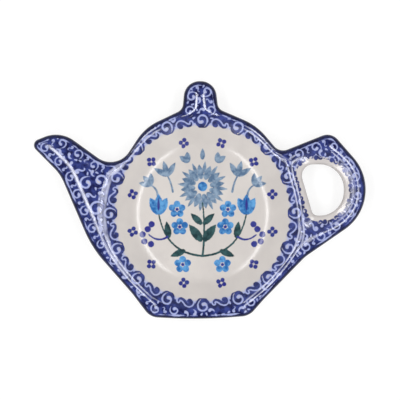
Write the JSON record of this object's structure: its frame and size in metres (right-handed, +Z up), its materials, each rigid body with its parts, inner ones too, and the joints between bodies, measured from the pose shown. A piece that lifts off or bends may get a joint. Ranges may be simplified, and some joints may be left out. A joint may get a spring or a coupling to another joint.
{
  "type": "tea bag rest",
  "caption": "Shallow glazed stoneware dish shaped like a teapot, with a round well for a used tea bag, a looped handle and a dry ring foot.",
  "frame": {"origin": "on the table under the middle of the outline", "axes": "+X from the spout to the handle, +Y from the teapot's base to its knob, +Z up"},
  "size_m": [0.13, 0.0931, 0.0135],
  "materials": {
    "bare_stoneware": "fired stoneware, sponged smooth and left without glaze on the foot",
    "clear_glaze": "clear gloss glaze over cream stoneware",
    "dark_cobalt": "brushed dark cobalt line under clear gloss glaze",
    "cobalt": "stamped and painted cobalt with pale scrolls under clear gloss glaze",
    "cream_ground": "cream ground with stamped blue and green flowers under clear gloss glaze"
  },
  "bodies": {
    "root": {"stoneware_body": "bare_stoneware", "wall_glaze": "clear_glaze", "rim_line": "dark_cobalt", "border_glaze": "cobalt", "well_glaze": "cream_ground", "foot_glaze": "clear_glaze"}
  },
  "joints": []
}
